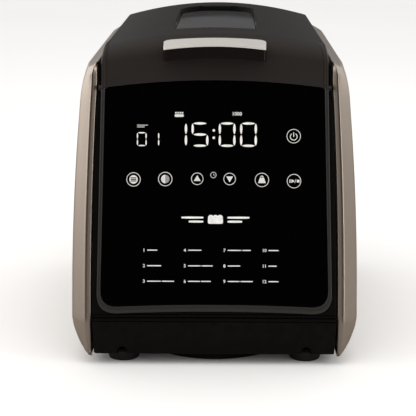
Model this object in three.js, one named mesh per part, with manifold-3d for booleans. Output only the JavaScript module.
// A front-controlled bread machine: steel side panels, a leaning touch panel, a domed lid with a window,
// an oven chamber with its pan and paddle, and the belt drive underneath. Millimetres, +Z up, front to -Y.
import * as THREE from "three";
import { mergeVertices } from "three/addons/utils/BufferGeometryUtils.js";
import Module from "manifold-3d";

const wasm = await Module();
wasm.setup();

// ---------- driving dimensions: the body ----------
const bodyFrontY = -171.6; // front of the base band
const bodyRearY = 171.6; // back of the base band
const baseBottomZ = 9; // underside of the base, on its feet
const baseTopZ = 37; // step between the base band and the fascia
const seamZ = 226; // where the lid meets the body, at the sides
const fasciaLean = THREE.MathUtils.degToRad(11.4); // the touch panel leans back
const flankBottomX = 101.4; // half width of the black body low down
const flankPullIn = 4.7; // how far the black body narrows by the lid seam
const flankStartZ = 55;
const flankEndZ = seamZ + 4;
const gap = 0.35; // between neighbouring pieces
const plasticWall = 2.5;
const steelWall = 1.5;
const screwRadius = 2;

// ---------- driving dimensions: the leaning front ----------
const fasciaSetback = 1.2; // the fascia stands behind the base band
const fasciaDepth = 8;
const glassThickness = 3;
const bezelWidth = 3.8;
const bezelFootWidth = 6.6;
const bezelProud = 1.2;
const glassBottomRise = 12.8; // from the fascia's foot to the glass, along the lean
const glassCorner = 13;
const glassFrown = 1.8; // the glass's lower edge is higher in its middle
const fasciaOpeningInset = 9; // the fascia's opening is this much inside the glass

// ---------- driving dimensions: the lid ----------
const seamArch = 6.6; // the lid seam is higher in its middle
const seamGap = 0.6; // between the lid and the pieces below it
const lidHalfWidth = flankBottomX - 7.5;
const glassTopHalfWidth = lidHalfWidth - bezelWidth;
const glassBottomHalfWidth = flankBottomX - 7.4;
const lidShoulderZ = seamZ + 22; // above this the lid's sides lean in
const lidShoulderPull = 0.12; // per millimetre of height
const lidFrontY = bodyFrontY + fasciaSetback + (seamZ - baseTopZ) * Math.tan(fasciaLean);
const lidRearY = bodyRearY - 19.1;
const lidNoseZ = seamZ + 20;
const lidNoseY = lidFrontY + 4.7;
const lidNoseTopY = lidFrontY + 28.2;
const lidNoseTopZ = seamZ + 33.4;
const lidRearTopZ = seamZ + 42;
const lidRearRound = 7;
const lidRearSkirtZ = seamZ + 10;
const lidFrontCrown = 9;
const lidRearCrown = 13;
const lidWall = 2.5;

const windowFrontY = lidNoseTopY + 44;
const windowRearY = lidRearY - 37.5;
const windowHalfWidth = 35;
const windowCorner = 5;
const windowRearCorner = 21;
const windowSinkFront = 0.2; // the pane lies deeper in the lid towards the back
const windowSinkRear = 5.4;
const windowLedge = 4;
const windowPane = 2.2;
const ventCount = 5;
const ventWidth = 4.6;
const ventPitch = 6.4;
const ventDepth = 3.4;
const ventY = lidRearY - 12.5;

const handleHalfWidth = 42;
const handleFrontY = lidFrontY - 11.3;
const handleTopFrontZ = seamZ + 35.2;
const handleTopRearY = lidFrontY + 20.2;
const handleTopRearZ = seamZ + 40.4;
const handleFootZ = seamZ + 26.4;
const handleArch = 2.9; // the ends sit lower than the middle
const handleCapThickness = 1.6;

const hingeY = lidRearY - 6.5;
const hingeZ = seamZ + 20;
const hingePinRadius = 3;

// ---------- driving dimensions: the steel sides ----------
const panelOuterX = flankBottomX + 17.6; // half width over the steel panels
const panelPullIn = 5; // how far the steel leans in at lid height
const panelBowStartZ = 60;
const panelBowHeight = seamZ - 61;
const panelEdge = 0.6; // thickness of the panel's turned-in edge
const panelRidge = 4.6; // the front ridge stands this much further outside the black body
const panelRidgeProud = 1.6; // and this far in front of it
const panelBevelDepth = 13;
const panelBevelRise = 25;
const panelTopBevel = 5;
const panelRearLean = 0.03; // the rear edge comes forward by this share of its height
const panelTopFrontZ = seamZ + 21;
const panelTopRearZ = seamZ + 31;
const panelTopFrontY = lidFrontY + 16.2;
const panelTopRearY = bodyRearY - 11.6;
const panelShoulder = 32; // the face rolls in over this last stretch below the top edge
const panelShoulderRate = 0.006;
const panelFrontRoll = 40; // the bow is deeper over this stretch behind the front bevel
const panelFrontRollShare = 0.55;
const panelTopCorner = 6; // the top front corner is rounded
const frameThickness = 2.5;
const frameTopInnerX = lidHalfWidth + 0.5;
const frameTopDrop = 2.5;

// ---------- driving dimensions: the oven ----------
const deckTopZ = seamZ - 0.7;
const deckThickness = 3;
const deckOverlap = 2; // the deck's opening is inside the chamber's walls
const chamberHalfWidth = lidHalfWidth - 13.9;
const chamberHalfLength = 90;
const chamberRearY = bodyRearY - 43.6;
const chamberFrontY = chamberRearY - 2 * chamberHalfLength;
const chamberFloorZ = baseTopZ + 23;
const chamberTopZ = deckTopZ - 3.5;
const chamberCorner = 22;
const chamberWall = 1.2;
const chamberFlange = 5;
const shaftY = chamberRearY - chamberHalfLength;
const heaterRadius = 3.2;
const heaterZ = chamberFloorZ + 24;
const heaterHalfWidth = chamberHalfWidth - 8.4;
const heaterCorner = 18;
const heaterTail = 6;
const heaterTailXs = [-10, 10];
const probeRadius = 2.4;
const probeZ = chamberFloorZ + 52;

const linerRimZ = deckTopZ + 3.7;
const linerTopZ = seamZ + 30;
const linerHalfWidth = chamberHalfWidth - 6;
const linerHalfLength = chamberHalfLength - 4;
const linerCorner = 20;
const linerThickness = 1.2;
const linerFlange = 8;
const viewHalfWidth = windowHalfWidth - 8; // the opening in the liner under the window
const viewHalfLength = linerHalfLength - 22;
const viewCorner = 6;

// ---------- driving dimensions: pan and paddle ----------
const panHalfWidth = chamberHalfWidth - 13;
const panHalfLength = chamberHalfLength - 8;
const panCorner = 24;
const panWall = 1.5;
const panBottomZ = chamberFloorZ + 14;
const panRimZ = chamberTopZ - 35.8;
const panDraft = 0.95; // the bottom is this share of the rim
const panRimRoll = 2.6;
const panSkirtDrop = 6;
const bailPivotRise = 5.4;
const bailReach = 54;
const bailWire = 2.2;
const bailBend = 14; // how far from the corner each bend starts
const bailPinTail = 1.2; // the pins end this far outside the pan's ears
const bailEarThickness = 2;
const seatOuter = 44;
const seatInner = 30;
const paddleBottomZ = panBottomZ + panWall + 3;
const paddleHeight = 30;
const paddleReach = panHalfWidth - 21;

// ---------- driving dimensions: the drive ----------
const shaftRadius = 4;
const driveShaftRadius = shaftRadius - 1;
const wingTopZ = panBottomZ - 7.4;
const wingHeight = 3;
const couplerTopZ = wingTopZ - wingHeight - gap;
const coupleRadius = 15;
const bushRadius = shaftRadius + 3;
const housingWall = 3;
const pulleyRadius = 52;
const smallPulleyRadius = 13;
const pulleyZ = baseTopZ - 10;
const pulleyWidth = 12;
const pulleySpokeHoles = 5;
const housingTopZ = chamberFloorZ - gap;
const housingBottomZ = pulleyZ + pulleyWidth + 4;
const beltWidth = 9;
const beltThickness = 2.4;
const motorRadius = 33;
const motorY = chamberFrontY - motorRadius - 13; // clear of the heat shield
const motorNoseRadius = 9;
const motorCapHeight = 4;
const motorShaftRadius = 2.5;
const motorBottomZ = baseTopZ + 7;
const motorHeight = 62;
const fanBlades = 7;
const bracketZ = motorBottomZ - 2.4;

// ---------- driving dimensions: feet, covers and electronics ----------
const footRadius = 14;
const footX = flankBottomX - 24.9;
const footInset = 21.6; // foot centre from the base's front and back
const underCoverRadius = 64;
const underCoverBottomZ = 1;
const underCoverSlots = 8;
const rearCoverTopZ = seamZ + 14;
const rearCoverInset = 8; // from the base's back to the cover's inner face
const rearSlotPitch = 14;
const rearSlotHeight = 34;
const rearSlotRows = [seamZ - 106, seamZ - 60];
const inletX = 62;
const inletZ = baseTopZ + 21;
const inletRadius = 9;
const cordBoreRadius = 3.6;
const boardDepth = glassThickness + 14; // the control board's back, behind the glass
const boardThickness = 1.6;
const boardHalfWidth = glassBottomHalfWidth - 16;
const boardRise = 118; // the control board's middle, up the lean
const displayRise = 152;
const powerBoardX = chamberHalfWidth + 2;

// ---------- geometry helpers ----------
const clamp = THREE.MathUtils.clamp;
const lerp = THREE.MathUtils.lerp;

function solid(geometry) {
  const bare = new THREE.BufferGeometry();
  bare.setAttribute("position", geometry.getAttribute("position"));
  if (geometry.index) bare.setIndex(geometry.index);
  const merged = mergeVertices(bare, 1e-3);
  const mesh = new wasm.Mesh({
    numProp: 3,
    vertProperties: new Float32Array(merged.getAttribute("position").array),
    triVerts: new Uint32Array(merged.index.array),
  });
  return new wasm.Manifold(mesh);
}

function geometryOf(body) {
  const mesh = body.getMesh();
  const geometry = new THREE.BufferGeometry();
  const positions = new Float32Array(mesh.numVert * 3);
  for (let i = 0; i < mesh.numVert; i++) {
    const from = i * mesh.numProp;
    positions.set(mesh.vertProperties.subarray(from, from + 3), i * 3);
  }
  geometry.setAttribute("position", new THREE.BufferAttribute(positions, 3));
  geometry.setIndex(new THREE.BufferAttribute(mesh.triVerts, 1));
  return geometry;
}

// Moves every vertex of a geometry through a function of its position.
function reshaped(geometry, move) {
  const positions = geometry.getAttribute("position");
  const point = new THREE.Vector3();
  for (let i = 0; i < positions.count; i++) {
    point.fromBufferAttribute(positions, i);
    move(point);
    positions.setXYZ(i, point.x, point.y, point.z);
  }
  return geometry;
}

function box(x0, x1, y0, y1, z0, z1) {
  const geometry = new THREE.BoxGeometry(x1 - x0, y1 - y0, z1 - z0);
  geometry.translate((x0 + x1) / 2, (y0 + y1) / 2, (z0 + z1) / 2);
  return solid(geometry);
}

function cylinder(radius, z0, z1, x = 0, y = 0, sides = 20, topRadius = radius) {
  const geometry = new THREE.CylinderGeometry(topRadius, radius, z1 - z0, sides);
  geometry.rotateX(Math.PI / 2);
  geometry.translate(x, y, (z0 + z1) / 2);
  return solid(geometry);
}

function crossCylinder(radius, x0, x1, y, z, sides = 12) {
  const geometry = new THREE.CylinderGeometry(radius, radius, x1 - x0, sides);
  geometry.rotateZ(Math.PI / 2);
  geometry.translate((x0 + x1) / 2, y, z);
  return solid(geometry);
}

function tube(outer, inner, z0, z1, x = 0, y = 0, sides = 20) {
  return cylinder(outer, z0, z1, x, y, sides).subtract(
    cylinder(inner, z0 - 1, z1 + 1, x, y, sides),
  );
}

function crossPipe(radius, y0, y1, x, z, sides = 20, endRadius = radius) {
  const geometry = new THREE.CylinderGeometry(endRadius, radius, y1 - y0, sides);
  geometry.translate(x, (y0 + y1) / 2, z);
  return solid(geometry);
}

// A rounded rectangle, centred, in its own plane; its two far corners may have their own radius.
function roundedRectangle(halfX, halfY, corner, farCorner = corner) {
  const shape = new THREE.Shape();
  shape.moveTo(halfX, -halfY + corner);
  shape.absarc(halfX - farCorner, halfY - farCorner, farCorner, 0, Math.PI / 2);
  shape.absarc(-halfX + farCorner, halfY - farCorner, farCorner, Math.PI / 2, Math.PI);
  shape.absarc(-halfX + corner, -halfY + corner, corner, Math.PI, Math.PI * 1.5);
  shape.absarc(halfX - corner, -halfY + corner, corner, Math.PI * 1.5, Math.PI * 2);
  return shape;
}

// A flat outline in XY raised from z0 to z1.
function raised(shape, z0, z1, x = 0, y = 0, curveSegments = 4) {
  const geometry = new THREE.ExtrudeGeometry(shape, {
    depth: z1 - z0,
    bevelEnabled: false,
    curveSegments,
  });
  geometry.translate(x, y, z0);
  return geometry;
}

// An outline in the YZ plane (shape x is Y, shape y is Z) drawn out along X, in equal steps.
function acrossX(shape, x0, x1, steps = 1, curveSegments = 8) {
  const geometry = new THREE.ExtrudeGeometry(shape, {
    depth: x1 - x0,
    bevelEnabled: false,
    curveSegments,
    steps,
  });
  geometry.applyMatrix4(new THREE.Matrix4().set(0, 0, 1, x0, 1, 0, 0, 0, 0, 1, 0, 0, 0, 0, 0, 1));
  return geometry;
}

// An outline in the XZ plane drawn out along Y.
function acrossY(shape, y0, y1, curveSegments = 8) {
  const geometry = new THREE.ExtrudeGeometry(shape, {
    depth: y1 - y0,
    bevelEnabled: false,
    curveSegments,
  });
  geometry.applyMatrix4(new THREE.Matrix4().set(1, 0, 0, 0, 0, 0, -1, y1, 0, 1, 0, 0, 0, 0, 0, 1));
  return geometry;
}

function outline(points) {
  return new THREE.Shape(points.map(([a, b]) => new THREE.Vector2(a, b)));
}

function mirroredInX(body) {
  return body.mirror([1, 0, 0]);
}

// A box whose lattice of grid lines is placed point by point.
function lattice(us, vs, ws, place) {
  const counts = [us.length - 1, vs.length - 1, ws.length - 1];
  const geometry = new THREE.BoxGeometry(1, 1, 1, ...counts);
  return reshaped(geometry, (p) => {
    const u = us[Math.round((p.x + 0.5) * counts[0])];
    const v = vs[Math.round((p.y + 0.5) * counts[1])];
    const w = ws[Math.round((p.z + 0.5) * counts[2])];
    p.set(...place(u, v, w));
  });
}

// ---------- materials ----------
function material(color, roughness, metalness) {
  return new THREE.MeshStandardMaterial({ color, roughness, metalness });
}
const blackPlastic = material(0x1a1513, 0.45, 0);
const lidPlastic = material(0x2b2725, 0.5, 0);
const greyPlastic = material(0x3a3632, 0.5, 0);
const brushedSteel = material(0xb4a798, 0.35, 1);
const blackGlass = material(0x020202, 0.05, 0);
const smokedGlass = material(0x4a4a4c, 0.08, 0);
const rubber = material(0x141414, 0.8, 0);
const silicone = material(0x8e3a2c, 0.7, 0);
const coatedSteel = material(0x2c2c2e, 0.45, 0.4);
const aluminisedSteel = material(0x9a9a98, 0.4, 1);
const plainSteel = material(0xa8a8a8, 0.3, 1);
const brass = material(0xb08a45, 0.35, 1);
const boardGreen = material(0x1f5a35, 0.5, 0);
const nylon = material(0xd8d4c8, 0.5, 0);

// ---------- shape of the body ----------
const flankX = (z) => {
  const rise = clamp(z - flankStartZ, 0, flankEndZ - flankStartZ);
  return flankBottomX - flankPullIn * (rise / (seamZ - flankStartZ)) ** 2;
};
const fasciaY = (z) => bodyFrontY + fasciaSetback + (z - baseTopZ) * Math.tan(fasciaLean);
const sideCrown = (x) => 1 - (x / lidHalfWidth) ** 2;

// ---------- steel side panels and the frames behind them ----------
function panelFrontY(z) {
  return fasciaY(Math.max(z, baseTopZ)) - panelRidgeProud;
}
function panelRearY(z) {
  return bodyRearY + panelRidgeProud - fasciaSetback - (z - baseBottomZ) * panelRearLean;
}
function panelTopZ(y) {
  const share = (y - panelTopFrontY) / (panelTopRearY - panelTopFrontY);
  return lerp(panelTopFrontZ, panelTopRearZ, share);
}

function panelFaceX(fromFront, fromTop, z) {
  const rise = Math.max(0, z - panelBowStartZ) / panelBowHeight;
  const bow = panelPullIn * rise ** 2;
  const shoulder = panelShoulderRate * Math.max(0, panelShoulder - fromTop) ** 2;
  const nearFront = Math.max(0, 1 - (fromFront - panelBevelDepth) / panelFrontRoll);
  const roll = panelFrontRollShare * bow * nearFront ** 2;
  return panelOuterX - bow - shoulder - roll;
}

// One side panel's outer skin or, with an inset, the space inside it.
function panelBody(inset) {
  const depths = [0, 13, 22, 34, 53, 110, 220, 310, 330, 343];
  const heights = [0, 25, 60, 110, 150, 185, 210, 225, 237, 243, 248];
  const lastDepth = depths[depths.length - 1];
  const lastHeight = heights[heights.length - 1];
  const geometry = lattice([0, 1], depths, heights, (u, v, w) => {
    const shareY = v / lastDepth;
    const roughZ = lerp(baseBottomZ, panelTopFrontZ, w / lastHeight);
    const roughY = lerp(panelFrontY(roughZ), panelRearY(roughZ), shareY);
    const z = lerp(baseBottomZ + inset, panelTopZ(roughY) - inset, w / lastHeight);
    const y = lerp(panelFrontY(z) + inset, panelRearY(z) - inset, shareY);
    const fromFront = y - panelFrontY(z);
    const fromRear = panelRearY(z) - y;
    const fromTop = panelTopZ(y) - z;
    const frontShare = Math.min(1, fromFront / panelBevelDepth, fromRear / panelBevelDepth);
    const footShare = Math.min(1, (z - baseBottomZ) / panelBevelRise);
    const bevel = Math.max(0, Math.min(frontShare, footShare, fromTop / panelTopBevel));
    const ridge = panelRidge * (1 - Math.max(0, frontShare)) * footShare;
    const face = panelFaceX(fromFront, fromTop, z);
    const edgeX = flankX(z) + panelEdge;
    const outerX = lerp(edgeX, face, bevel) + ridge * Math.min(1, 0.3 + fromTop / panelBevelDepth);
    const innerX = inset > 0 ? flankX(z) - 4 : flankX(z);
    const back = u === 0 && inset === 0 && shareY === 0 ? panelRidgeProud + 1 : 0;
    return [u === 0 ? innerX : Math.max(outerX - inset, innerX + 0.6), y + back, z];
  });
  return solid(geometry);
}

// The side view of a panel with its top front corner rounded.
function panelSide(inset) {
  const top = panelTopZ(panelTopFrontY) - inset;
  const front = panelFrontY(top) + inset;
  const low = top - panelTopCorner;
  const shape = new THREE.Shape();
  shape.moveTo(panelFrontY(low) + inset, low);
  shape.quadraticCurveTo(front, top, front + panelTopCorner, top + panelTopCorner * 0.036);
  shape.lineTo(front + panelTopCorner, top + 50);
  shape.lineTo(bodyRearY + 50, top + 50);
  shape.lineTo(bodyRearY + 50, 0);
  shape.lineTo(bodyFrontY - 50, 0);
  shape.lineTo(bodyFrontY - 50, low);
  return solid(acrossX(shape, 0, panelOuterX + 50, 1, 5));
}

function sidePanel() {
  const outside = panelBody(0).intersect(panelSide(0));
  const inside = panelBody(steelWall).intersect(panelSide(steelWall));
  return outside.subtract(inside);
}

function sideFrame() {
  const steps = 10;
  const topZ = panelTopRearZ - frameTopDrop;
  const outer = [];
  const inner = [];
  for (let i = 0; i <= steps; i++) {
    const z = lerp(baseTopZ + gap, topZ, i / steps);
    outer.push([flankX(z) - gap, z]);
    const innerX = z > deckTopZ - 4 ? frameTopInnerX : flankX(z) - gap - frameThickness;
    inner.unshift([innerX, z]);
  }
  const sheet = solid(acrossY(outline([...outer, ...inner]), bodyFrontY, bodyRearY));
  const foot = baseTopZ + gap;
  const side = outline([
    [fasciaY(foot) + 1, foot],
    [panelRearY(foot) - 4, foot],
    [panelRearY(panelTopRearZ) - 4, panelTopZ(panelTopRearY) - frameTopDrop],
    [fasciaY(panelTopFrontZ) + 7, panelTopFrontZ - frameTopDrop],
    [fasciaY(panelTopFrontZ - 8) + 1, panelTopFrontZ - 10],
  ]);
  const trimmed = sheet.intersect(solid(acrossX(side, lidHalfWidth - 14, flankBottomX + 9)));
  const pinHole = crossCylinder(hingePinRadius + gap, lidHalfWidth - 14, flankBottomX + 9, hingeY, hingeZ);
  return trimmed.subtract(pinHole);
}

function hingePin() {
  const outerX = flankX(hingeZ);
  const shank = crossCylinder(hingePinRadius, lidHalfWidth - 5, outerX + 1.2, hingeY, hingeZ);
  const head = crossCylinder(hingePinRadius + 2, outerX + 0.2, outerX + 1.4, hingeY, hingeZ);
  return shank.add(head);
}

// ---------- base, feet and covers ----------
function baseTray() {
  const halfTop = flankX(baseTopZ) - gap;
  const section = outline([
    [-halfTop + 1.4, baseBottomZ],
    [halfTop - 1.4, baseBottomZ],
    [halfTop, baseTopZ],
    [-halfTop, baseTopZ],
  ]);
  const outer = solid(acrossY(section, bodyFrontY, bodyRearY - 2));
  const inside = box(
    -halfTop + plasticWall + 2,
    halfTop - plasticWall - 2,
    bodyFrontY + plasticWall,
    bodyRearY - 2 - plasticWall,
    baseBottomZ + plasticWall,
    baseTopZ + 1,
  );
  let tray = outer.subtract(inside);
  for (const [x, y] of footPlaces()) {
    tray = tray.subtract(cylinder(screwRadius + gap, 0, baseTopZ, x, y, 10));
  }
  for (const x of [-footX, footX]) tray = tray.subtract(footNotch(x));
  const drain = cylinder(underCoverRadius - 4, 0, baseTopZ, 0, motorY, 32);
  return tray.subtract(drain);
}

function footPlaces() {
  const places = [];
  for (const y of [bodyFrontY + footInset, bodyRearY - footInset]) {
    for (const x of [-footX, footX]) places.push([x, y]);
  }
  return places;
}

// A small round notch in the base band above each front foot.
function footNotch(x) {
  return crossPipe(4.2, bodyFrontY - 1.2, bodyFrontY + 1.2, x, baseBottomZ + 3.5, 16);
}

function foot(x, y) {
  const rise = baseBottomZ - gap;
  const pad = cylinder(footRadius - 1.5, 0, rise, x, y, 20, footRadius);
  const screwHole = cylinder(screwRadius + gap, 1.6, rise + 1, x, y, 10);
  return pad.subtract(screwHole);
}

function footScrew(x, y) {
  const shank = cylinder(screwRadius, 2.2, baseBottomZ + plasticWall + 1, x, y, 10);
  const head = cylinder(screwRadius + 2, baseBottomZ + plasticWall + gap, baseBottomZ + 5, x, y, 10);
  return shank.add(head);
}

function undersideCover() {
  const rim = cylinder(underCoverRadius, underCoverBottomZ, baseBottomZ - gap, 0, motorY, 32);
  const hollow = cylinder(underCoverRadius - 3, underCoverBottomZ + 2, baseBottomZ, 0, motorY, 32);
  let cover = rim.subtract(hollow);
  for (let i = 0; i < underCoverSlots; i++) {
    const geometry = new THREE.BoxGeometry(4, 22, 8);
    geometry.translate(0, 34, underCoverBottomZ);
    geometry.rotateZ((i * 2 * Math.PI) / underCoverSlots);
    geometry.translate(0, motorY, 0);
    cover = cover.subtract(solid(geometry));
  }
  return cover;
}

// ---------- front fascia, bezel and glass ----------
// Pieces of the leaning front are drawn flat (x across, y up the lean, z outwards) and then stood up.
const leanLength = (seamZ - baseTopZ) / Math.cos(fasciaLean);
function stoodUp(geometry) {
  geometry.rotateX(Math.PI / 2);
  geometry.rotateX(-fasciaLean);
  geometry.translate(0, fasciaY(baseTopZ), baseTopZ);
  return geometry;
}

// The U-shaped outline of the glass, grown outwards by the given widths; its top edge follows the seam.
function glassOutline(side, foot, top) {
  const shape = new THREE.Shape();
  const low = glassBottomRise - foot;
  const corner = glassCorner + side;
  const halfFoot = glassBottomHalfWidth + side;
  const halfTop = glassTopHalfWidth + side;
  const drift = ((halfFoot - halfTop) * corner) / leanLength;
  const archAtEnds = seamArch * sideCrown(halfTop);
  shape.moveTo(halfTop, top);
  shape.quadraticCurveTo(0, top + 2 * (archAtEnds + seamArch), -halfTop, top);
  shape.lineTo(-halfFoot + drift, low + corner);
  shape.quadraticCurveTo(-halfFoot, low, -halfFoot + corner, low);
  shape.quadraticCurveTo(0, low + 2 * glassFrown, halfFoot - corner, low);
  shape.quadraticCurveTo(halfFoot, low, halfFoot - drift, low + corner);
  return shape;
}

// Everything under the lid seam, as a solid with an arched top.
function underSeam(clearance) {
  const arch = lattice(
    Array.from({ length: 11 }, (_, i) => lerp(-1, 1, i / 10)),
    [bodyFrontY - 30, bodyRearY + 30],
    [0, 1],
    (u, v, w) => {
      const x = u * (flankBottomX + 10.6);
      const arched = seamZ - clearance + seamArch * Math.max(-0.42, sideCrown(x));
      return [x, v, w === 0 ? 0 : arched];
    },
  );
  return solid(arch);
}

function frontFascia() {
  const steps = 10;
  const right = [];
  const left = [];
  for (let i = 0; i <= steps; i++) {
    const z = lerp(baseTopZ + gap, seamZ + seamArch, i / steps);
    const halfX = z > deckTopZ - 5 ? frameTopInnerX - 2 * gap : flankX(z) - frameThickness - 2 * gap;
    right.push([halfX, z]);
    left.unshift([-halfX, z]);
  }
  const front = solid(acrossY(outline([...right, ...left]), bodyFrontY, 0));
  const foot = baseTopZ + gap;
  const head = seamZ + seamArch;
  const lean = outline([
    [fasciaY(foot), foot],
    [fasciaY(foot) + fasciaDepth, foot],
    [fasciaY(head) + fasciaDepth, head],
    [fasciaY(head), head],
  ]);
  const slab = solid(acrossX(lean, -flankBottomX - 9, flankBottomX + 9));
  const plate = front.intersect(slab).intersect(underSeam(seamGap));
  const pocketShape = glassOutline(bezelWidth + gap, bezelFootWidth + gap, leanLength + 20);
  const pocket = solid(stoodUp(raised(pocketShape, -glassThickness, 10)));
  const inset = fasciaOpeningInset;
  const opening = solid(stoodUp(raised(glassOutline(-inset, -inset, leanLength - inset), -20, 10)));
  return plate.subtract(pocket).subtract(opening);
}

function glassBezel() {
  const top = leanLength + 20;
  const outer = raised(glassOutline(bezelWidth, bezelFootWidth, top), -glassThickness + gap, bezelProud);
  const inner = raised(glassOutline(gap, gap, top + 5), -glassThickness - 5, bezelProud + 5);
  const band = solid(stoodUp(outer)).subtract(solid(stoodUp(inner)));
  return band.intersect(underSeam(seamGap));
}

function touchGlass() {
  const sheet = raised(glassOutline(0, 0, leanLength + 20), -glassThickness + gap, 0);
  return solid(stoodUp(sheet)).intersect(underSeam(seamGap + 0.2));
}

// ---------- lid ----------
const lidSideTop = (y) => lerp(lidNoseTopZ, lidRearTopZ, (y - lidNoseTopY) / (lidRearY - lidNoseTopY));
const lidCrown = (y) => lerp(lidFrontCrown, lidRearCrown, (y - lidNoseTopY) / (lidRearY - lidNoseTopY));

// The lid's side outline, drawn in by an inset and let down by a drop below its rim.
function lidOutline(inset, drop) {
  const shape = new THREE.Shape();
  shape.moveTo(lidFrontY + inset - drop * 0.23, seamZ - drop);
  shape.lineTo(lidNoseY + inset, lidNoseZ);
  shape.bezierCurveTo(
    lidNoseY + inset + 2.6, lidNoseZ + 8,
    lidNoseTopY - 12, lidNoseTopZ - inset - 1.6,
    lidNoseTopY, lidNoseTopZ - inset,
  );
  const spans = 3;
  for (let i = 1; i <= spans; i++) {
    const y = lerp(lidNoseTopY, lidRearY - lidRearRound, i / spans);
    shape.lineTo(y, lidSideTop(y) - inset);
  }
  const rearTop = lidSideTop(lidRearY) - inset;
  shape.quadraticCurveTo(lidRearY - inset, rearTop, lidRearY - inset, rearTop - lidRearRound);
  shape.lineTo(lidRearY - inset, lidRearSkirtZ - drop);
  shape.lineTo(lidRearY - 20, lidRearSkirtZ - drop);
  shape.lineTo(lidRearY - 30, seamZ - drop);
  return shape;
}

function lidBody(inset, drop) {
  const half = lidHalfWidth - inset;
  const geometry = acrossX(lidOutline(inset, drop), -half, half, 10, 4);
  return solid(
    reshaped(geometry, (p) => {
      const share = clamp((p.z - seamZ) / (lidSideTop(p.y) - seamZ), 0, 1);
      const crown = lerp(seamArch, lidCrown(p.y), share);
      const pull = Math.max(0, p.z - lidShoulderZ) * lidShoulderPull;
      const narrow = (half - pull) / half;
      p.z += crown * sideCrown(p.x);
      p.x *= narrow;
    }),
  );
}

const lidTopAt = (x, y) => lidSideTop(y) + lidCrown(y) * sideCrown(x);

// How far the window's surface lies below the dome at a place along the lid.
function windowSink(y) {
  const share = clamp((y - windowFrontY) / (windowRearY - windowFrontY), 0, 1);
  return lerp(windowSinkFront, windowSinkRear, share);
}

// The window's plan, grown by a margin, between two depths below the dome (functions of y).
function underDome(margin, above, below) {
  const halfX = windowHalfWidth + margin;
  const y0 = windowFrontY - margin;
  const y1 = windowRearY + margin;
  const columns = Array.from({ length: 9 }, (_, i) => lerp(-halfX, halfX, i / 8));
  const sheet = lattice(columns, [y0, windowFrontY, windowRearY, y1], [0, 1], (u, v, w) => [
    u,
    v,
    lidTopAt(u, v) - (w === 0 ? below(v) : above(v)),
  ]);
  const near = Math.max(1, windowCorner + margin);
  const plan = roundedRectangle(halfX, (y1 - y0) / 2, near, windowRearCorner + margin);
  return solid(sheet).intersect(solid(raised(plan, seamZ - 30, lidRearTopZ + 60, 0, (y0 + y1) / 2)));
}

function lidShell() {
  let shell = lidBody(0, 0).subtract(lidBody(lidWall, 12));
  const pocket = underDome(gap, () => -10, (y) => windowSink(y) + windowPane + gap);
  const hole = underDome(-windowLedge, () => -10, () => 30);
  const ledge = underDome(6, () => 1, (y) => windowSink(y) + windowPane + 3.5);
  shell = shell.add(ledge).subtract(pocket).subtract(hole);
  for (let i = 0; i < ventCount; i++) {
    const x = (i - (ventCount - 1) / 2) * ventPitch;
    shell = shell.subtract(
      box(
        x - ventWidth / 2,
        x + ventWidth / 2,
        ventY - ventDepth / 2,
        ventY + ventDepth / 2,
        seamZ + 29,
        seamZ + 74,
      ),
    );
  }
  const boss = crossCylinder(hingePinRadius + 3.4, lidHalfWidth - 9, lidHalfWidth - 1, hingeY, hingeZ, 24);
  const reach = [lidHalfWidth - 20, lidHalfWidth + 5];
  const pinHole = crossCylinder(hingePinRadius + gap, ...reach, hingeY, hingeZ, 20);
  shell = shell.add(boss).add(mirroredInX(boss));
  return shell.subtract(pinHole).subtract(mirroredInX(pinHole));
}

function windowGlass() {
  return underDome(0, (y) => windowSink(y) + 0.3, (y) => windowSink(y) + windowPane);
}

// The liner is a shallow tray turned upside down over the chamber.
function aboutShaft(halfX, halfY, corner, z0, z1) {
  return solid(raised(roundedRectangle(halfX, halfY, corner), z0, z1, 0, shaftY));
}

function lidLiner() {
  const wall = linerThickness;
  const cup = aboutShaft(linerHalfWidth, linerHalfLength, linerCorner, linerRimZ, linerTopZ);
  const cavity = aboutShaft(
    linerHalfWidth - wall,
    linerHalfLength - wall,
    linerCorner - wall,
    linerRimZ - 1,
    linerTopZ - wall,
  );
  const flange = aboutShaft(
    linerHalfWidth + linerFlange,
    linerHalfLength + linerFlange,
    linerCorner + 4,
    linerRimZ,
    linerRimZ + wall,
  );
  const view = aboutShaft(viewHalfWidth, viewHalfLength, viewCorner, linerTopZ - 5, linerTopZ + 5);
  return flange.add(cup).subtract(cavity).subtract(view);
}

function innerPane() {
  const z0 = linerTopZ + gap;
  return aboutShaft(viewHalfWidth + 4, viewHalfLength + 4, viewCorner, z0, z0 + 2);
}

function lidGasket() {
  const top = linerRimZ - gap;
  const bottom = deckTopZ + gap;
  const outer = aboutShaft(linerHalfWidth + 7, linerHalfLength + 7, linerCorner + 4, bottom, top);
  const inner = aboutShaft(linerHalfWidth + 3, linerHalfLength + 3, linerCorner, bottom - 1, top + 1);
  return outer.subtract(inner);
}

// A bar across the lid's nose with the given side outline, arched so that its ends sit lower.
function archedBar(points) {
  return solid(
    reshaped(acrossX(outline(points), -handleHalfWidth, handleHalfWidth, 10), (p) => {
      p.z -= handleArch * (p.x / handleHalfWidth) ** 2;
    }),
  );
}

function handleGrip() {
  const drop = handleCapThickness + gap;
  const block = archedBar([
    [handleFrontY, handleFootZ],
    [handleFrontY, handleTopFrontZ - drop],
    [handleTopRearY, handleTopRearZ - drop],
    [handleTopRearY, handleFootZ - 1],
    [lidNoseY - 6, handleFootZ - 1],
  ]);
  return block.subtract(lidBody(0, 0).translate([0, -gap, gap / 2]));
}

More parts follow.
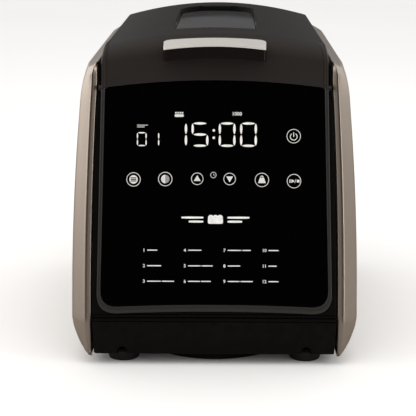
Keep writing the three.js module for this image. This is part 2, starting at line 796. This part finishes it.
function handleCap() {
  const plate = archedBar([
    [handleFrontY, handleTopFrontZ - handleCapThickness],
    [handleFrontY, handleTopFrontZ],
    [handleTopRearY, handleTopRearZ],
    [handleTopRearY, handleTopRearZ - handleCapThickness],
  ]);
  return plate.subtract(lidBody(0, 0).translate([0, -gap, gap]));
}

// ---------- rear cover ----------
function rearCover() {
  const steps = 8;
  const right = [];
  const left = [];
  for (let i = 0; i <= steps; i++) {
    const z = lerp(baseTopZ + gap, rearCoverTopZ, i / steps);
    const halfX = z > deckTopZ - 5 ? frameTopInnerX - gap : flankX(z) - frameThickness - 2 * gap;
    right.push([halfX, z]);
    left.unshift([-halfX, z]);
  }
  const face = bodyRearY - rearCoverInset;
  let cover = solid(acrossY(outline([...right, ...left]), face, face + plasticWall));
  for (const z of rearSlotRows) {
    for (let i = -4; i <= 4; i++) {
      const x = i * rearSlotPitch;
      cover = cover.subtract(box(x - 2.5, x + 2.5, face - 12, face + 13, z, z + rearSlotHeight));
    }
  }
  return cover.subtract(crossPipe(inletRadius + gap, face - 13, face + 17, inletX, inletZ));
}

function cordInlet() {
  const flangeY = bodyRearY - rearCoverInset + plasticWall + gap;
  const barrel = crossPipe(inletRadius, flangeY - 15, flangeY + 3, inletX, inletZ);
  const flange = crossPipe(inletRadius + 4, flangeY, flangeY + 3, inletX, inletZ, 20, inletRadius + 3);
  const bore = crossPipe(cordBoreRadius, flangeY - 20, flangeY + 20, inletX, inletZ, 12);
  return barrel.add(flange).subtract(bore);
}

// ---------- deck and oven chamber ----------
function topDeck() {
  const rear = bodyRearY - rearCoverInset - gap;
  const front = fasciaY(deckTopZ) + fasciaDepth + 2;
  const halfX = frameTopInnerX - gap;
  const plate = box(-halfX, halfX, front, rear, deckTopZ - deckThickness, deckTopZ);
  const hole = aboutShaft(
    chamberHalfWidth - deckOverlap,
    chamberHalfLength - deckOverlap,
    chamberCorner,
    deckTopZ - 10,
    deckTopZ + 5,
  );
  return plate.subtract(hole);
}

function chamberBox() {
  const outer = aboutShaft(chamberHalfWidth, chamberHalfLength, chamberCorner, chamberFloorZ, chamberTopZ);
  const flange = aboutShaft(
    chamberHalfWidth + chamberFlange,
    chamberHalfLength + chamberFlange,
    chamberCorner + chamberFlange,
    chamberTopZ - chamberWall,
    chamberTopZ,
  );
  const inner = aboutShaft(
    chamberHalfWidth - chamberWall,
    chamberHalfLength - chamberWall,
    chamberCorner - chamberWall,
    chamberFloorZ + chamberWall,
    chamberTopZ + 5,
  );
  const holeRadius = bushRadius + housingWall + gap;
  const shaftHole = cylinder(holeRadius, chamberFloorZ - 5, chamberFloorZ + 5, 0, shaftY, 18);
  const wallX = -chamberHalfWidth;
  const probeHole = crossCylinder(probeRadius + gap, wallX - 5, wallX + 5, shaftY, probeZ, 16);
  let body = outer.add(flange).subtract(inner).subtract(shaftHole).subtract(probeHole);
  for (const x of heaterTailXs) {
    const hole = crossPipe(heaterRadius + gap, chamberFrontY - 6, chamberFrontY + 6, x, heaterZ, 16);
    body = body.subtract(hole);
  }
  return body;
}

// The heating element runs once round the chamber and leaves through its front wall in two tails.
function heatingElement() {
  const points = [];
  const front = chamberFrontY + (chamberHalfWidth - heaterHalfWidth);
  const rear = chamberRearY - (chamberHalfWidth - heaterHalfWidth);
  const put = (x, y) => points.push(new THREE.Vector3(x, y, heaterZ));
  put(heaterTailXs[1], chamberFrontY - heaterTail);
  put(heaterTailXs[1], front - 3);
  put(heaterTailXs[1] + 4, front);
  const corners = [
    [heaterHalfWidth - heaterCorner, front + heaterCorner, -90],
    [heaterHalfWidth - heaterCorner, rear - heaterCorner, 0],
    [-heaterHalfWidth + heaterCorner, rear - heaterCorner, 90],
    [-heaterHalfWidth + heaterCorner, front + heaterCorner, 180],
  ];
  for (const [cx, cy, from] of corners) {
    for (let i = 0; i <= 4; i++) {
      const angle = THREE.MathUtils.degToRad(from + (i * 90) / 4);
      put(cx + heaterCorner * Math.cos(angle), cy + heaterCorner * Math.sin(angle));
    }
  }
  put(heaterTailXs[0] - 4, front);
  put(heaterTailXs[0], front - 3);
  put(heaterTailXs[0], chamberFrontY - heaterTail);
  const path = new THREE.CurvePath();
  for (let i = 1; i < points.length; i++) path.add(new THREE.LineCurve3(points[i - 1], points[i]));
  return tubeAlong(path, heaterRadius, 46, 7);
}

// A round bar along a path.
function tubeAlong(path, radius, steps, sides) {
  const section = new THREE.Shape();
  for (let i = 0; i < sides; i++) {
    const angle = (i * 2 * Math.PI) / sides;
    const x = radius * Math.cos(angle);
    const y = radius * Math.sin(angle);
    if (i === 0) section.moveTo(x, y);
    else section.lineTo(x, y);
  }
  return solid(new THREE.ExtrudeGeometry(section, { extrudePath: path, steps, bevelEnabled: false }));
}

function heaterClip(side) {
  const outer = side * (chamberHalfWidth - chamberWall - gap);
  const inner = side * (heaterHalfWidth - heaterRadius - 2.2);
  const x0 = Math.min(outer, inner);
  const x1 = Math.max(outer, inner);
  const reach = heaterRadius + 2.2;
  const block = box(x0, x1, shaftY + 30, shaftY + 40, heaterZ - reach, heaterZ + reach);
  const seatX = side * heaterHalfWidth;
  const seat = crossPipe(heaterRadius + gap, shaftY + 15, shaftY + 55, seatX, heaterZ, 16);
  const slot = box(
    Math.min(inner - side, seatX),
    Math.max(inner - side, seatX),
    shaftY + 25,
    shaftY + 45,
    heaterZ - heaterRadius + 0.6,
    heaterZ + heaterRadius - 0.6,
  );
  return block.subtract(seat).subtract(slot);
}

function temperatureProbe() {
  const wallX = -chamberHalfWidth;
  const stem = crossCylinder(probeRadius, wallX - 6, wallX + 5, shaftY, probeZ, 16);
  const collar = crossCylinder(probeRadius + 2.5, wallX - 6, wallX - gap, shaftY, probeZ, 16);
  return stem.add(collar);
}

function thermalFuse() {
  const x1 = -chamberHalfWidth - gap;
  const z = chamberFloorZ + 95;
  const bodyPart = box(x1 - 5, x1, shaftY + 30, shaftY + 52, z - 5, z + 5);
  return bodyPart.add(crossCylinder(6, x1 - 7, x1 - 1, shaftY + 41, z, 24));
}

function heatShield() {
  const y = chamberFrontY - chamberFlange - 3;
  const halfX = chamberHalfWidth + 6;
  const foot = chamberFloorZ + 2;
  const head = chamberTopZ - 7.8;
  const sheet = box(-halfX, halfX, y, y + 1, foot, head);
  const leftWing = box(-halfX, 1 - halfX, y, y + 20, foot, head);
  const rightWing = box(halfX - 1, halfX, y, y + 20, foot, head);
  return sheet.add(leftWing).add(rightWing);
}

// ---------- pan seat ----------
function panSeat() {
  const z0 = chamberFloorZ + chamberWall + gap;
  return tube(seatOuter, seatInner, z0, panBottomZ - gap, 0, shaftY, 16);
}

function springClip(side) {
  const z0 = chamberFloorZ + chamberWall + gap;
  const x = seatOuter + gap;
  const shape = outline([
    [x, z0],
    [x + 9, z0],
    [x + 9, z0 + 1],
    [x + 2.4, z0 + 1],
    [x + 2.4, z0 + 9],
    [x + 4.4, z0 + 10.4],
    [x + 4.4, z0 + 11.6],
    [x + 1.4, z0 + 10],
    [x, z0 + 9],
  ]);
  const clip = solid(acrossY(shape, shaftY - 8, shaftY + 8));
  return side > 0 ? clip : mirroredInX(clip);
}

// ---------- bread pan ----------
function panCup(inset, z0, z1) {
  const shape = roundedRectangle(panHalfWidth - inset, panHalfLength - inset, panCorner - inset);
  const geometry = reshaped(raised(shape, z0, z1, 0, 0), (p) => {
    const share = lerp(panDraft, 1, clamp((p.z - panBottomZ) / (panRimZ - panBottomZ), 0, 1));
    p.x *= share;
    p.y = p.y * share + shaftY;
  });
  return solid(geometry);
}

function breadPan() {
  const outer = panCup(0, panBottomZ, panRimZ);
  const rim = panCup(-panRimRoll, panRimZ - 2.4, panRimZ);
  const inner = panCup(panWall, panBottomZ + panWall, panRimZ + 4);
  const skirtZ = panBottomZ - panSkirtDrop;
  const skirt = tube(seatInner - 3, seatInner - 5, skirtZ, panBottomZ + 0.5, 0, shaftY, 16);
  let pan = outer.add(rim).add(skirt).subtract(inner);
  pan = pan.subtract(cylinder(bushRadius + gap, panBottomZ - 10, panBottomZ + 10, 0, shaftY, 18));
  for (const side of [-1, 1]) {
    const x = side * (panHalfWidth + panRimRoll - bailEarThickness / 2);
    const half = bailEarThickness / 2;
    const pivotZ = panRimZ + bailPivotRise;
    const ear = box(x - half, x + half, shaftY - 8, shaftY + 8, panRimZ - 10, pivotZ + 4);
    const eye = crossCylinder(bailWire + gap, x - 5, x + 5, shaftY, pivotZ, 16);
    pan = pan.add(ear).subtract(eye);
  }
  return pan;
}

function panBail() {
  const z = panRimZ + bailPivotRise;
  const armX = panHalfWidth + panRimRoll - bailEarThickness - gap - bailWire - 1;
  const pinX = panHalfWidth + panRimRoll + bailPinTail;
  const endY = shaftY + bailReach;
  const corners = [
    [armX, shaftY - bailWire],
    [armX, endY - bailBend],
    [armX - bailBend * 0.3, endY - bailBend * 0.3],
    [armX - bailBend, endY],
  ];
  const across = corners.map(([x, y]) => [-x, y]).reverse();
  const points = [...corners, ...across].map(([x, y]) => new THREE.Vector3(x, y, z));
  const path = new THREE.CurvePath();
  for (let i = 1; i < points.length; i++) path.add(new THREE.LineCurve3(points[i - 1], points[i]));
  const wire = tubeAlong(path, bailWire, 44, 8);
  const rightPin = crossCylinder(bailWire, armX - 1, pinX, shaftY, z);
  return wire.add(rightPin).add(mirroredInX(rightPin));
}

// ---------- paddle and shafts ----------
function panBearing() {
  const floorZ = panBottomZ + panWall;
  const flange = cylinder(bushRadius + 5, floorZ + gap, floorZ + 2, 0, shaftY, 18);
  const barrel = cylinder(bushRadius, panBottomZ - 7, floorZ + 1, 0, shaftY, 18);
  const bore = cylinder(shaftRadius + gap, panBottomZ - 20, panBottomZ + 20, 0, shaftY, 16);
  return flange.add(barrel).subtract(bore);
}

function paddleShaft() {
  const topZ = paddleBottomZ + paddleHeight;
  const rod = cylinder(shaftRadius, wingTopZ - wingHeight, topZ - 8, 0, shaftY, 16);
  const flatX = shaftRadius * 0.65;
  const flat = box(flatX, shaftRadius + 6, shaftY - 10, shaftY + 10, paddleBottomZ - 0.5, topZ);
  return rod.subtract(flat);
}

function wingCoupling() {
  const z0 = wingTopZ - wingHeight;
  const hub = cylinder(bushRadius, z0, wingTopZ, 0, shaftY, 16);
  const wings = box(-coupleRadius, coupleRadius, shaftY - 3, shaftY + 3, z0, wingTopZ);
  const bore = cylinder(shaftRadius + gap, z0 - 5, wingTopZ + 5, 0, shaftY, 16);
  return hub.add(wings).subtract(bore);
}

function kneadingPaddle() {
  const topZ = paddleBottomZ + paddleHeight;
  const hub = cylinder(shaftRadius + 6, paddleBottomZ, topZ, 0, shaftY, 28, shaftRadius + 3.5);
  const blade = outline([
    [6, paddleBottomZ],
    [paddleReach - 2, paddleBottomZ],
    [paddleReach, paddleBottomZ + 4],
    [paddleReach - 6, paddleBottomZ + 22],
    [paddleReach - 16, paddleBottomZ + 27],
    [6, paddleBottomZ + 24],
  ]);
  const fin = solid(acrossY(blade, shaftY - 2, shaftY + 2));
  const bore = cylinder(shaftRadius + gap, paddleBottomZ - 5, topZ - 7.6, 0, shaftY, 16);
  return hub.add(fin).subtract(bore);
}

// ---------- drive under the chamber ----------
function driveCoupler() {
  const floor = chamberFloorZ + chamberWall + gap;
  const hub = cylinder(8, couplerTopZ - 3, couplerTopZ, 0, shaftY, 16);
  const disc = cylinder(coupleRadius, floor, couplerTopZ, 0, shaftY, 18);
  const pegY = coupleRadius - 4;
  const rearPeg = box(-3, 3, shaftY + pegY - 3, shaftY + pegY + 3, floor, wingTopZ);
  const frontPeg = box(-3, 3, shaftY - pegY - 3, shaftY - pegY + 3, floor, wingTopZ);
  const bore = cylinder(driveShaftRadius + gap, couplerTopZ - 10, couplerTopZ + 10, 0, shaftY, 16);
  return hub.add(disc).add(rearPeg).add(frontPeg).subtract(bore);
}

function driveShaft() {
  return cylinder(driveShaftRadius, pulleyZ - 4, couplerTopZ - 0.5, 0, shaftY, 16);
}

function bearingHousing() {
  const outer = bushRadius + housingWall;
  const tubePart = tube(outer, bushRadius, housingBottomZ, housingTopZ, 0, shaftY, 18);
  const halfX = chamberHalfWidth - 4;
  const bridge = box(-halfX, halfX, shaftY - 14, shaftY + 14, housingTopZ - 3, housingTopZ);
  const passage = cylinder(bushRadius, housingBottomZ - 5, chamberFloorZ + 5, 0, shaftY, 18);
  return tubePart.add(bridge.subtract(passage));
}

function driveBush() {
  const bore = driveShaftRadius + gap;
  return tube(bushRadius - gap, bore, housingBottomZ + 1, housingTopZ, 0, shaftY, 16);
}

function largePulley() {
  const z0 = pulleyZ - pulleyWidth / 2;
  const z1 = pulleyZ + pulleyWidth / 2;
  let wheel = cylinder(pulleyRadius, z0, z1, 0, shaftY, 18);
  const recess = tube(pulleyRadius - 5, 12, z0 + 4, z1 + 1, 0, shaftY, 16);
  wheel = wheel.subtract(recess);
  const holeCircle = (pulleyRadius + 8) / 2;
  for (let i = 0; i < pulleySpokeHoles; i++) {
    const angle = (i * 2 * Math.PI) / pulleySpokeHoles;
    const x = holeCircle * Math.cos(angle);
    const y = shaftY + holeCircle * Math.sin(angle);
    wheel = wheel.subtract(cylinder(9, z0 - 1, z1 + 1, x, y, 12));
  }
  return wheel.subtract(cylinder(driveShaftRadius + gap, z0 - 1, z1 + 1, 0, shaftY, 16));
}

function smallPulley() {
  const z0 = pulleyZ - pulleyWidth / 2;
  const z1 = pulleyZ + pulleyWidth / 2;
  const wheel = cylinder(smallPulleyRadius, z0, z1, 0, motorY, 32);
  return wheel.subtract(cylinder(motorShaftRadius + gap, z0 - 1, z1 + 1, 0, motorY, 12));
}

// The closed outline that a belt takes round two pulleys, grown by a distance.
function beltOutline(grow) {
  const span = shaftY - motorY;
  const big = pulleyRadius + grow;
  const small = smallPulleyRadius + grow;
  const turn = Math.asin((big - small) / span);
  const shape = new THREE.Shape();
  shape.absarc(0, shaftY, big, -turn, Math.PI + turn, false);
  shape.absarc(0, motorY, small, Math.PI + turn, 2 * Math.PI - turn, false);
  return shape;
}

function driveBelt() {
  const z0 = pulleyZ - beltWidth / 2;
  const outer = solid(raised(beltOutline(gap + beltThickness), z0, z0 + beltWidth, 0, 0, 14));
  const inner = solid(raised(beltOutline(gap), z0 - 1, z0 + beltWidth + 1, 0, 0, 14));
  return outer.subtract(inner);
}

function motor() {
  const topZ = motorBottomZ + motorHeight;
  const can = cylinder(motorRadius, motorBottomZ, topZ, 0, motorY, 24);
  const noseZ = motorBottomZ - motorCapHeight;
  const nose = cylinder(motorNoseRadius, noseZ, motorBottomZ + 1, 0, motorY, 16);
  const bore = cylinder(motorShaftRadius + gap, noseZ - 6, topZ + 10, 0, motorY, 12);
  return can.add(nose).subtract(bore);
}

function motorBracket() {
  const plate = box(-70, 70, motorY - 22, motorY + 22, bracketZ, bracketZ + 2);
  const hole = cylinder(motorNoseRadius + gap, bracketZ - 5, bracketZ + 5, 0, motorY, 16);
  const postX = underCoverRadius + 2;
  const post = cylinder(4, baseBottomZ + plasticWall + gap, bracketZ + 1, postX, motorY, 20);
  return plate.subtract(hole).add(post).add(mirroredInX(post));
}

function motorShaft() {
  return cylinder(motorShaftRadius, pulleyZ - 8, motorBottomZ + motorHeight + 14, 0, motorY, 12);
}

function motorFan() {
  const z0 = motorBottomZ + motorHeight + 2;
  let fan = cylinder(7, z0, z0 + 9, 0, motorY, 12);
  for (let i = 0; i < fanBlades; i++) {
    const blade = new THREE.BoxGeometry(24, 1.2, 9);
    blade.rotateX(0.6);
    blade.translate(18, 0, z0 + 4.5);
    blade.rotateZ((i * 2 * Math.PI) / fanBlades);
    blade.translate(0, motorY, 0);
    fan = fan.add(solid(blade));
  }
  return fan.subtract(cylinder(motorShaftRadius + gap, z0 - 5, z0 + 20, 0, motorY, 12));
}

// ---------- electronics ----------
function controlBoard() {
  const shape = roundedRectangle(boardHalfWidth, 40, 3);
  return solid(stoodUp(raised(shape, -boardDepth, boardThickness - boardDepth, 0, boardRise)));
}

function displayModule() {
  const back = boardThickness + gap - boardDepth;
  const shape = roundedRectangle(boardHalfWidth - 8, 15, 2);
  return solid(stoodUp(raised(shape, back, back + 8, 0, displayRise)));
}

function powerBoard() {
  const x = powerBoardX;
  const board = box(x, x + boardThickness, motorY - 30, motorY + 26, motorBottomZ + 2, motorBottomZ + 106);
  const coil = box(x - 20, x + 0.5, motorY - 27, motorY - 7, motorBottomZ + 16, motorBottomZ + 40);
  const relay = box(x - 15, x + 0.5, motorY, motorY + 18, motorBottomZ + 18, motorBottomZ + 36);
  return board.add(coil).add(relay);
}

// ---------- assembly ----------
const breadMachine = new THREE.Group();
function put(name, body, finish) {
  const mesh = new THREE.Mesh(geometryOf(body), finish);
  mesh.name = name;
  breadMachine.add(mesh);
}

put("base_tray", baseTray(), blackPlastic);
put("front_fascia", frontFascia(), blackPlastic);
put("glass_bezel", glassBezel(), greyPlastic);
put("touch_glass", touchGlass(), blackGlass);
put("side_frame_right", sideFrame(), blackPlastic);
put("side_frame_left", mirroredInX(sideFrame()), blackPlastic);
put("side_panel_right", sidePanel(), brushedSteel);
put("side_panel_left", mirroredInX(sidePanel()), brushedSteel);
put("hinge_pin_right", hingePin(), plainSteel);
put("hinge_pin_left", mirroredInX(hingePin()), plainSteel);
put("rear_cover", rearCover(), blackPlastic);
put("cord_inlet", cordInlet(), rubber);
put("top_deck", topDeck(), lidPlastic);
put("underside_cover", undersideCover(), blackPlastic);
footPlaces().forEach(([x, y], i) => {
  put("foot_" + (i + 1), foot(x, y), rubber);
  put("foot_screw_" + (i + 1), footScrew(x, y), plainSteel);
});

put("lid_shell", lidShell(), lidPlastic);
put("lid_window", windowGlass(), smokedGlass);
put("lid_liner", lidLiner(), coatedSteel);
put("inner_window_pane", innerPane(), smokedGlass);
put("lid_gasket", lidGasket(), silicone);
put("handle_grip", handleGrip(), blackPlastic);
put("handle_cap", handleCap(), brushedSteel);

put("oven_chamber", chamberBox(), aluminisedSteel);
put("heating_element", heatingElement(), plainSteel);
put("heater_clip_right", heaterClip(1), aluminisedSteel);
put("heater_clip_left", heaterClip(-1), aluminisedSteel);
put("temperature_probe", temperatureProbe(), plainSteel);
put("thermal_fuse", thermalFuse(), nylon);
put("heat_shield", heatShield(), aluminisedSteel);
put("pan_seat", panSeat(), aluminisedSteel);
put("pan_spring_right", springClip(1), plainSteel);
put("pan_spring_left", springClip(-1), plainSteel);

put("bread_pan", breadPan(), coatedSteel);
put("pan_bearing", panBearing(), brass);
put("pan_bail", panBail(), plainSteel);
put("paddle_shaft", paddleShaft(), plainSteel);
put("wing_coupling", wingCoupling(), plainSteel);
put("kneading_paddle", kneadingPaddle(), coatedSteel);

put("drive_coupler", driveCoupler(), plainSteel);
put("drive_shaft", driveShaft(), plainSteel);
put("bearing_housing", bearingHousing(), aluminisedSteel);
put("drive_bush", driveBush(), brass);
put("large_pulley", largePulley(), nylon);
put("small_pulley", smallPulley(), brass);
put("drive_belt", driveBelt(), rubber);
put("motor", motor(), aluminisedSteel);
put("motor_bracket", motorBracket(), aluminisedSteel);
put("motor_shaft", motorShaft(), plainSteel);
put("motor_fan", motorFan(), nylon);
put("control_board", controlBoard(), boardGreen);
put("display_module", displayModule(), blackPlastic);
put("power_board", powerBoard(), boardGreen);

export default breadMachine;
